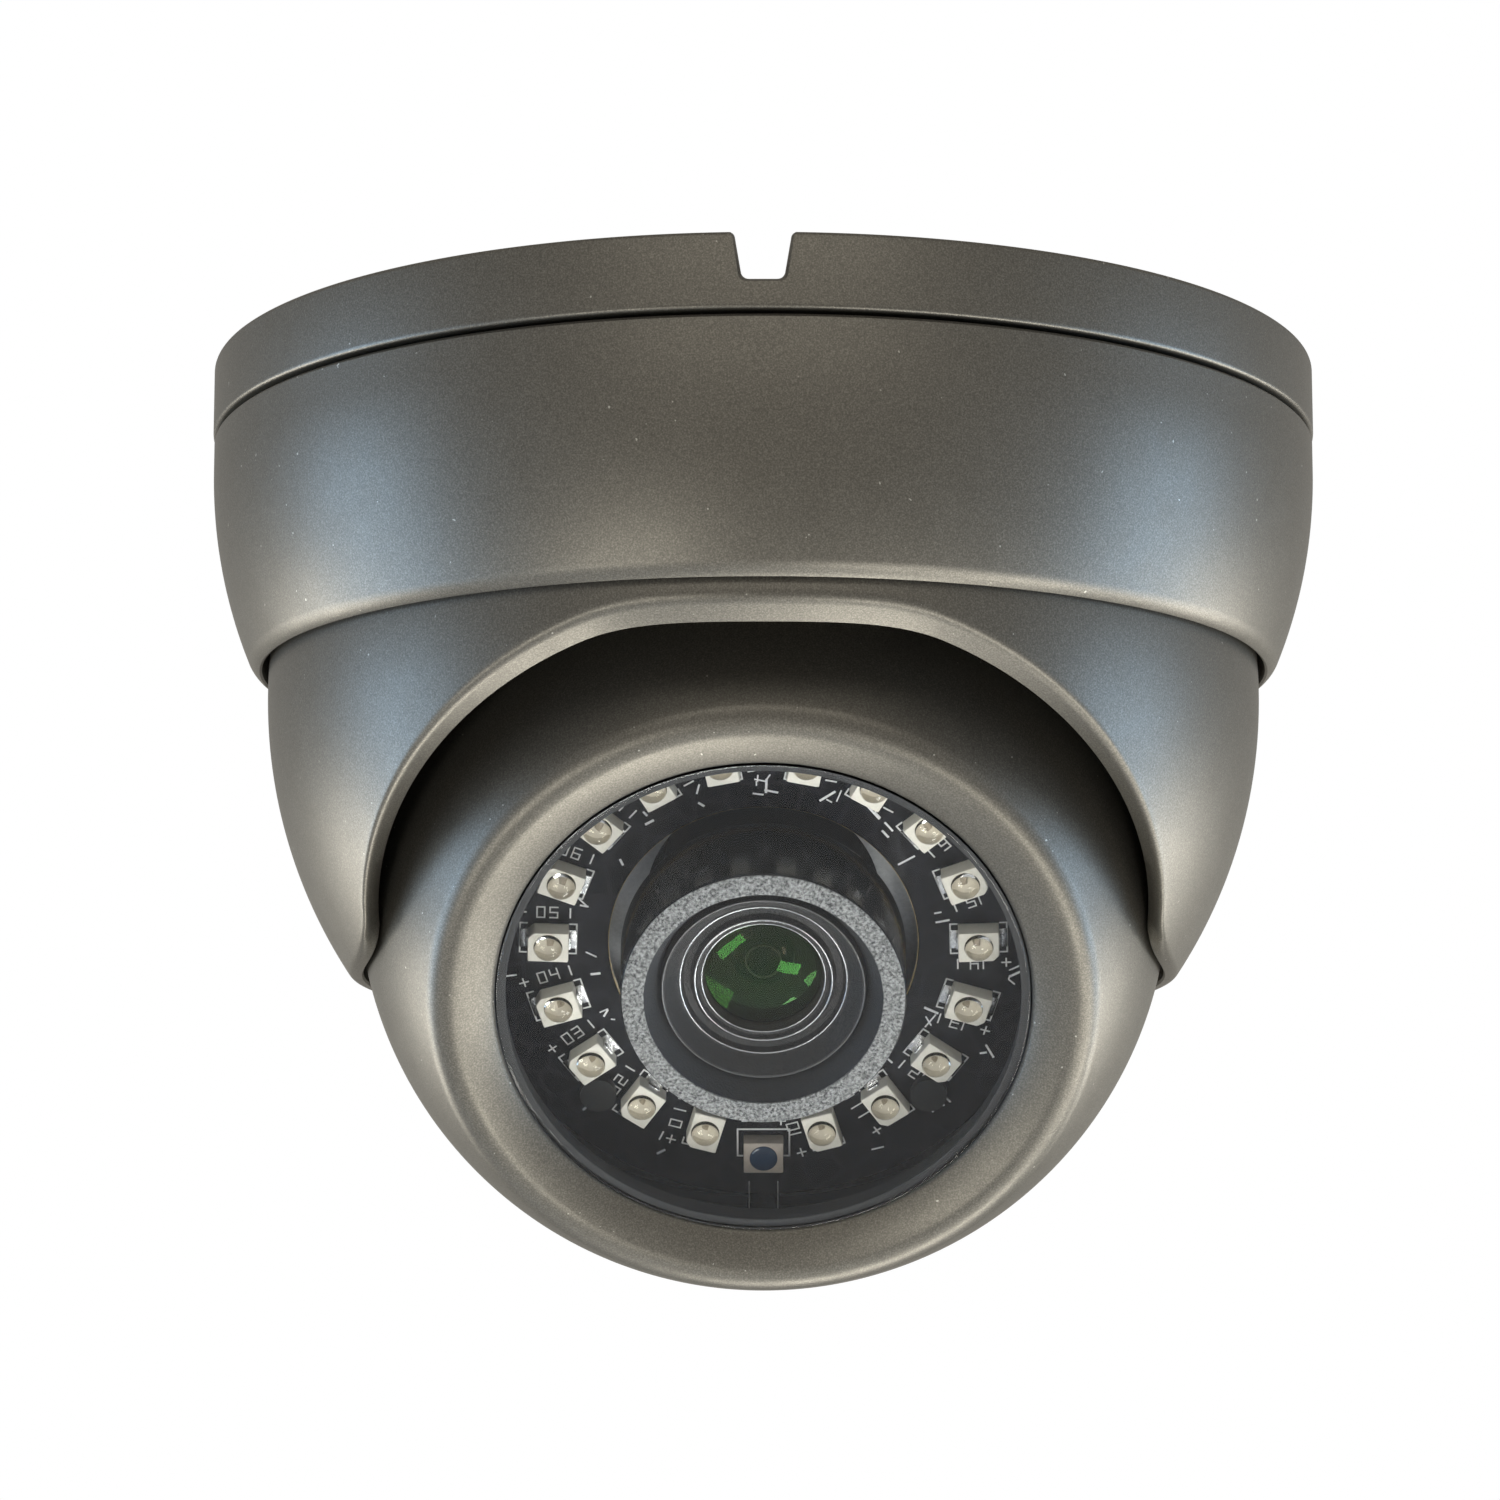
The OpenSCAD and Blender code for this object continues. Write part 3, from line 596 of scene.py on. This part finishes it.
def ball_rear():
    flat = -33.1
    start = -math.degrees(math.asin(GROOVE_HALF / BALL_R))
    end = math.degrees(math.asin(flat / BALL_R))
    inner_end = math.degrees(math.asin(-31.2 / BALL_INNER_R))
    inner_start = -math.degrees(math.asin(4.0 / BALL_INNER_R))
    outline = [(BELT_R, 0), (BELT_R, -4)]
    outline += arc(0, 0, BALL_INNER_R, inner_start, inner_end, 40)
    outline += [(3.5, -31.2), (3.5, flat)]
    outline += arc(0, 0, BALL_R, end, start, 60)
    outline += [(GROOVE_R, -GROOVE_HALF), (GROOVE_R, 0)]
    body = lathe("ball_rear_shell", outline, IN_BALL)
    for a in SCREW_ANGLES:
        spot = IN_BALL @ Matrix.Rotation(math.radians(a), 4, "Z") @ Matrix.Translation((BALL_SCREW_AT, 0, 0))
        post = [(0, -19.5), (3.2, -19.5), (3.2, -0.02), (0, -0.02)]
        boss = lathe("boss", post, spot, closed=False, turns=48)
        inside = arc(0, 0, BALL_R - 0.6, -90, 90, 48)
        cut(boss, lathe("inside_of_ball", inside, IN_BALL, closed=False, turns=96), "INTERSECT")
        cut(body, boss, "UNION")
        bore = [(0, -30), (2.9, -30), (2.5, -20.8), (2.5, -16), (1.3, -16), (1.3, 1), (0, 1)]
        cut(body, lathe("bore", bore, spot, closed=False, turns=48))
    place(body, "ball", "housing_paint", paint, "ball_rear")


def window():
    low, high = WINDOW_Z
    pane = [(0, high), (WINDOW_R, high, 0.25), (WINDOW_R, low + 0.02, 0.1), (0, low + 0.02)]
    body = lathe("clear_window", rounded(pane, closed=False), IN_BALL, closed=False)
    place(body, "ball", "window_clear", window_glass, "window")
    out, inn, floor, top = WINDOW_R - 0.05, SEAT_INNER_R - 0.15, SEAT_Z + 0.03, low - 0.02
    seal = rounded([(out, floor, 0.15), (inn, floor, 0.15), (inn, top, 0.1), (out, top, 0.1)])
    place(lathe("window_seal_ring", seal, IN_BALL), "ball", "rubber_black", rubber, "window_gasket")


# ---------------------------------------------------------------- LED board
def led_frames():
    """Matrix of each LED: x towards the lens, y clockwise, z forwards."""
    out = []
    for s in (-1, 1):
        for a in LED_ANGLES:
            turn = Matrix.Rotation(math.radians(-90 + s * a), 4, "Z")
            spot = turn @ Matrix.Translation((LED_CIRCLE_R, 0, LED_TOP))
            out.append(spot @ Matrix.Rotation(math.pi, 4, "Z"))
    return out


DIGITS = {0: "abcdef", 1: "bc", 2: "abged", 3: "abgcd", 4: "fgbc", 5: "afgcd", 6: "afgedc", 7: "abc",
          8: "abcdefg", 9: "abcdfg"}
STROKES = {"a": ((0, 1), (1, 1)), "b": ((1, 1), (1, 0.5)), "c": ((1, 0.5), (1, 0)), "d": ((0, 0), (1, 0)),
           "e": ((0, 0.5), (0, 0)), "f": ((0, 1), (0, 0.5)), "g": ((0, 0.5), (1, 0.5))}


def stroke(p, q, width, matrix, height=0.02):
    """A thin raised bar from p to q."""
    p, q = Vector((*p, 0)), Vector((*q, 0))
    middle = (p + q) / 2
    turn = Matrix.Translation(middle) @ Matrix.Rotation(math.atan2(q.y - p.y, q.x - p.x), 4, "Z")
    return box_shape(((q - p).length + width, width, height), (0, 0, height / 2), 0, matrix @ turn)


def silk_marks(m, number):
    """Brackets, polarity mark and a plain number beside one LED."""
    bars = []
    for s in (-1, 1):
        bars.append(stroke((s * 2.3, -1.35), (s * 2.3, 1.35), 0.13, m))
        for y in (-1.35, 1.35):
            bars.append(stroke((s * 2.3, y), (s * 1.75, y), 0.13, m))
    bars.append(stroke((-2.55, 2.35), (-1.85, 2.35), 0.13, m))
    bars.append(stroke((-2.2, 2.0), (-2.2, 2.7), 0.13, m))
    bars.append(stroke((1.75, 1.95), (1.75, 2.75), 0.13, m))
    for i, digit in enumerate("%02d" % number):
        x = -0.95 + i * 1.05
        for key in DIGITS[int(digit)]:
            (x0, y0), (x1, y1) = STROKES[key]
            bars.append(stroke((x + x0 * 0.62, 1.9 + y0 * 0.95), (x + x1 * 0.62, 1.9 + y1 * 0.95), 0.12, m))
    return bars


def tab_marks():
    """Outline of the board's locating tab."""
    m = Matrix.Translation((0, 0, LED_TOP))
    return [stroke((s * 1.2, -22.4), (s * 1.2, -25.0), 0.07, m) for s in (-1, 1)]


def track_glints():
    """Painted reflections: short white bars standing in for glints off the tracks between the LEDs, more of
    them on the right.
    """
    pick = random.Random(11)
    shapes = []
    for s in (-1, 1):
        for a in LED_ANGLES:
            turn = Matrix.Rotation(math.radians(-90 + s * (a + 9.5)), 4, "Z")
            for _ in range(5 if s > 0 else 3):
                out = pick.choice((14.2, 15.0, 20.2, 20.9)) + pick.uniform(-0.5, 0.5)
                m = turn @ Matrix.Translation((out, pick.uniform(-1.0, 1.0), LED_TOP))
                way = pick.choice((0, 0, 35, -35, 80))
                reach = pick.uniform(0.1, 0.55) * (1.3 if s > 0 else 1)
                tip = (reach * math.cos(math.radians(way)), reach * math.sin(math.radians(way)))
                shapes.append(stroke((-tip[0], -tip[1]), tip, pick.uniform(0.10, 0.20), m, 0.05))
    return shapes


def led_board():
    low = LED_TOP - 0.98
    board = [(BOARD_R, low, 0.1), (BOARD_R, LED_TOP, 0.15),
             (BOARD_HOLE_R, LED_TOP, 0.15), (BOARD_HOLE_R, low, 0.1)]
    disc = lathe("led_board_disc", rounded(board), IN_BALL)
    cut(disc, gather("tab", [box_shape((2.75, 3.5, 0.96), (0, -23.4, LED_TOP - 0.49))], IN_BALL), "UNION")
    place(disc, "ball", "led_board_black", board_black, "led_board")
    inner, outer, back, front = BOARD_HOLE_R - 0.02, BOARD_HOLE_R - 0.02 + 0.08, low + 0.13, LED_TOP - 0.12
    rim = [(inner, back), (outer, back), (outer, front), (inner, front)]
    place(lathe("led_board_edge", rim, IN_BALL), "ball", "brass", brass)
    marks, pads, bodies, cups, dies, domes = tab_marks(), [], [], [], [], []
    for number, m in enumerate(led_frames(), 1):
        marks += silk_marks(m, number)
        for s in (-1, 1):
            pads.append(box_shape((0.75, 1.7, 0.12), (s * 1.95, 0, 0.06), 0.05, m))
            pads.append(box_shape((0.30, 1.1, 0.9), (s * 1.70, 0, 0.45), 0.08, m))
        bodies.append(led_body(m))
        cups.append(turned_shape([(1.12, 1.58), (0.72, 0.75), (0, 0.75)], 24, m))
        dies.append(box_shape((0.34, 0.34, 0.12), (0.1, 0, 0.81), 0.03, m))
        dome = [(1.08, 1.0), (1.20, 1.60)] + arc(0, 1.55, 1.20, 4, 90, 11)[1:]
        dome = [(r, 1.55 + (z - 1.55) * 0.60) for r, z in dome]
        domes.append(turned_shape([(0, 0.95)] + dome, 40, m))
    place(gather("led_silkscreen", marks, IN_BALL), "ball", "led_board_black", silk_white)
    # painted reflections: white bars for glints off the tracks between the LEDs
    place(gather("track_glints", track_glints(), IN_BALL), "ball", "fastener_steel", painted_glint)
    place(gather("led_solder", pads, IN_BALL), "ball", "fastener_steel", solder)
    place(gather("led_bodies", bodies, IN_BALL), "ball", "led_ceramic", led_ceramic, "led_packages")
    place(gather("led_cups", cups, IN_BALL), "ball", "led_ceramic", led_cup_white)
    place(gather("led_dies", dies, IN_BALL), "ball", "chip_black", die_dark)
    place(gather("led_lenses", domes, IN_BALL), "ball", "led_clear", led_resin, "led_domes")


def led_body(m):
    """LED housing: a block with one cut corner and a round well."""
    half_x, half_y = LED_HALF
    top, well, n = LED_HEIGHT, LED_WELL_R, 32
    corner = half_x + half_y - 0.5
    verts, faces = [], []

    def on_outline(a):
        d = Vector((math.cos(a), math.sin(a)))
        t = min(half_x / max(abs(d.x), 1e-6), half_y / max(abs(d.y), 1e-6))
        p = d * t
        if -p.x + p.y > corner:
            p = d * corner / (-d.x + d.y)
        return p

    for i in range(n * 2):
        a = math.pi * i / n
        p = on_outline(a)
        ring = [(p.x, p.y, 0), (p.x, p.y, top - 0.08), (p.x * 0.965, p.y * 0.965, top),
                (well * math.cos(a), well * math.sin(a), top), (well * math.cos(a), well * math.sin(a), 0.7)]
        verts += [m @ Vector(q) for q in ring]
    k = 5
    for i in range(n * 2):
        j = (i + 1) % (n * 2)
        faces += [(i * k + r, j * k + r, j * k + r + 1, i * k + r + 1) for r in range(k - 1)]
    faces.append([i * k for i in reversed(range(n * 2))])
    faces.append([i * k + 4 for i in range(n * 2)])
    return verts, faces


def light_sensor():
    m = Matrix.Translation((0, SENSOR_AT, LED_TOP))
    body = [box_shape((3.3, 2.9, 1.5), (0, 0, 0.75), 0.12, m)]
    place(gather("light_sensor_body", body, IN_BALL), "ball", "led_ceramic", sensor_tan, "light_sensor")
    eye = [turned_shape([(1.16, 1.46), (1.16, 1.56), (1.05, 1.63), (0.6, 1.70), (0, 1.72)], 40, m)]
    place(gather("light_sensor_lens", eye, IN_BALL), "ball", "sensor_blue", sensor_eye, "light_sensor_eye")
    marks = []
    for s in (-1, 1):
        marks.append(stroke((s * 2.15, 1.95), (s * 2.15, -0.6), 0.14, m))
        marks.append(stroke((s * 2.15, -0.6), (s * 1.75, -0.6), 0.14, m))
    marks.append(stroke((-2.15, 1.95), (2.15, 1.95), 0.14, m))
    marks.append(stroke((-1.75, 2.75), (-1.1, 2.75), 0.13, m))
    marks.append(stroke((1.1, 2.75), (1.8, 2.75), 0.13, m))
    marks.append(stroke((1.45, 2.4), (1.45, 3.1), 0.13, m))
    place(gather("sensor_marks", marks, IN_BALL), "ball", "led_board_black", silk_white)


# ---------------------------------------------------------------- lens
def lens_shield():
    z = SHIELD_Z - 0.06
    outline = rounded([(HEAD_R + 0.05, HEAD_Z), (SHIELD_R, HEAD_Z, 0.3), (SHIELD_R, z, 0.25),
                       (SHIELD_CROWN_R, z, 0.2), (HEAD_R + 0.05, LENS_Z + 0.2, 0.2)])
    body = place(lathe("foam_collar", outline, IN_BALL), "ball", "shield_foam", shield_gloss, "lens_shield")
    second_material(body, shield_slope, lambda p: p.xy.length < SHIELD_CROWN_R + 0.1 and p.z > LENS_Z)
    inn, out = SHIELD_CROWN_R - 0.1, SHIELD_R - 0.12
    ring = rounded([(inn, z - 0.1), (out, z - 0.1), (out, SHIELD_Z, 0.15), (inn, SHIELD_Z, 0.15)])
    place(lathe("foam_collar_face", ring, IN_BALL), "ball", "shield_foam", shield_grain)


def lens():
    lip = LENS_Z + 1.3
    barrel = rounded([
        (0, -1.7), (BARREL_R, -1.7, 0.3), (BARREL_R, HEAD_Z), (HEAD_R, HEAD_Z, 0.3),
        (HEAD_R, lip, 0.12), (HEAD_R - 0.25, lip, 0.12), (6.95, LENS_Z - 0.2, 0.25),
        (6.75, LENS_Z - 0.2, 0.1), (6.5, LENS_Z - 0.75, 0.1), (5.9, LENS_Z - 0.75, 0.1),
        (5.7, LENS_Z - 0.2, 0.1), (5.45, LENS_Z - 0.2, 0.1), (5.3, LENS_Z - 0.6, 0.1),
        (5.05, LENS_Z - 0.6, 0.1), (4.7, LENS_Z - 1.8, 0.1), (4.7, 13.0, 0.1),
        (2.2, 12.2, 0.1), (2.2, 10.8), (0, 10.8)], closed=False)
    body = lathe("lens_barrel_turned", barrel, IN_BALL, closed=False)
    place(body, "ball", "lens_black", barrel_black, "lens_barrel")
    second_material(body, lens_dark, lambda p: p.xy.length < LENS_EDGE_R and p.z > 10.5)
    rings = ((HEAD_R - 0.1, lip - 0.03, 0.06), (6.78, LENS_Z - 0.22, 0.09), (5.58, LENS_Z - 0.22, 0.09),
             (5.02, LENS_Z - 0.62, 0.07))
    for i, (r, z, thick) in enumerate(rings):
        rim = lathe("machined_ring_%d" % i, arc(r, z, thick, 0, 330, 11), IN_BALL)
        replaced = ["lens_retainer"] if i == 1 else []
        place(rim, "ball", "lens_black", edge_dark if i == 0 else edge_bright, *replaced)
    top = LENS_Z - 0.25
    low = math.degrees(math.acos(LENS_EDGE_R / LENS_CURVE))
    front = [(0, 14.2), (4.6, 14.2)] + arc(0, top - LENS_CURVE, LENS_CURVE, low, 90, 24)
    glass = lathe("front_element", front, IN_BALL, closed=False)
    place(glass, "ball", "lens_glass", lens_coated, "lens_front_glass")
    inner = [(0, 11.3), (2.1, 11.3), (2.1, 11.9)] + arc(0, 9.1, 3.6, 55, 90, 12)
    place(lathe("second_element", inner, IN_BALL, closed=False), "ball", "lens_glass", lens_clear)
    iris = rounded([(1.2, 12.85), (1.32, 12.85), (1.32, 13.0), (1.2, 13.0)])
    place(lathe("iris_ring", iris, IN_BALL), "ball", "lens_black", edge_dark)


# ---------------------------------------------------------------- CAD nodes that keep their shape
def finish_cad_nodes():
    looks = {
        "cable_grommet": rubber, "friction_ring": polymer, "tilt_pins": steel, "groove_shoes": polymer,
        "ball_seal": rubber, "ball_screws": steel, "rear_gland": rubber, "led_board_screws": screw_black,
        "led_board_posts": brass, "chassis_plate": aluminium, "lens_rear_glass": lens_coated,
        "lens_lock_nut": aluminium, "lens_holder": holder_black, "ir_filter": filter_glass,
        "sensor_board": green_mask, "image_sensor": chip, "isp_chip": chip, "board_standoffs": brass,
        "plate_nuts": steel, "board_spacers": brass, "power_board": green_mask, "power_inductor": chip,
        "lead_connectors": white_plastic, "board_screws": steel, "led_leads": wire_red,
    }
    for node, mat in looks.items():
        mesh = nodes[node].data
        mesh.materials.clear()
        mesh.materials.append(mat)
        mesh.shade_smooth()
        mesh.set_sharp_from_angle(angle=math.radians(30))


# ---------------------------------------------------------------- stage, light, camera
def camera():
    distance, drop, height = 400.0, 8.82, -40.0
    aim = drop + 1.118
    turn = 0.164
    data = bpy.data.cameras.new("camera")
    data.sensor_width = 36
    data.lens = 113.2
    data.clip_start = 0.01
    data.clip_end = 50
    obj = bpy.data.objects.new("camera", data)
    e = math.radians(drop)
    obj.location = Vector((0, -distance * math.cos(e), height - distance * math.sin(e))) * MM
    obj.rotation_euler = (math.radians(90 + aim), 0, math.radians(turn))
    scene.collection.objects.link(obj)
    scene.camera = obj


def area_light(name, where, size, power, color, along=None):
    """Soft panel that faces the object; along is where its long side points."""
    target = Vector((0, 0, -0.04))
    data = bpy.data.lights.new(name, "AREA")
    data.shape = "RECTANGLE"
    data.size, data.size_y = size
    data.energy = power
    data.color = color
    obj = bpy.data.objects.new(name, data)
    obj.location = where
    back = (Vector(where) - target).normalized()
    side = Vector(along) if along else Vector((0, 0, 1)).cross(back)
    up = back.cross(side).normalized()
    side = up.cross(back)
    obj.rotation_euler = Matrix((side, up, back)).transposed().to_euler()
    obj.visible_camera = False
    scene.collection.objects.link(obj)


def stage():
    world = bpy.data.worlds.new("studio")
    scene.world = world
    world.use_nodes = True
    tree = world.node_tree
    back = tree.nodes["Background"]
    back.inputs["Color"].default_value = (1.0, 0.93, 0.84, 1)
    back.inputs["Strength"].default_value = 0.38
    white = tree.nodes.new("ShaderNodeBackground")
    white.inputs["Color"].default_value = (1, 1, 1, 1)
    white.inputs["Strength"].default_value = 1.0
    path = tree.nodes.new("ShaderNodeLightPath")
    mix = tree.nodes.new("ShaderNodeMixShader")
    tree.links.new(path.outputs["Is Camera Ray"], mix.inputs["Fac"])
    tree.links.new(back.outputs["Background"], mix.inputs[1])
    tree.links.new(white.outputs["Background"], mix.inputs[2])
    tree.links.new(mix.outputs["Shader"], tree.nodes["World Output"].inputs["Surface"])
    half, low = 4000, -900
    corners = [(-half, -half, low), (half, -half, low), (half, half, low), (-half, half, low)]
    floor = make_object("floor", corners, [(0, 1, 2, 3)])
    floor_mat, _, _ = new_material("pale_floor", (0.80, 0.80, 0.80), 0.9)
    floor.data.materials.append(floor_mat)
    warm = (1.0, 0.96, 0.88)
    blue = (0.44, 0.68, 1.0)
    area_light("below", (0.10, 0.12, -0.90), (0.50, 0.30), 5.5, warm)
    area_light("low_right", (0.33, -0.48, -0.78), (0.30, 0.16), 1.6, warm)
    area_light("side_low_right", (0.60, -0.10, -0.74), (0.30, 0.30), 2.4, warm)
    area_light("back_left", (-0.78, 0.36, -0.40), (0.35, 0.50), 4.0, warm)
    area_light("back_right", (0.78, 0.36, -0.40), (0.35, 0.50), 4.0, warm)
    area_light("blue_left", (-0.92, -0.02, -0.24), (0.44, 0.72), 4.2, blue)
    area_light("blue_right", (0.92, -0.02, -0.26), (0.44, 0.72), 4.2, blue)
    area_light("key", (0, -1.10, 0.46), (1.2, 0.30), 1.6, warm)
    area_light("window_light", (-0.46, -0.70, -0.58), (0.50, 0.13), 1.8, warm, (-0.51, 0.57, -0.34))


camera()
scene.view_settings.view_transform = "Standard"
base_plate()
trim_ring()
pan_hood()
ball_front()
ball_rear()
window()
led_board()
light_sensor()
lens_shield()
lens()
finish_cad_nodes()
stage()
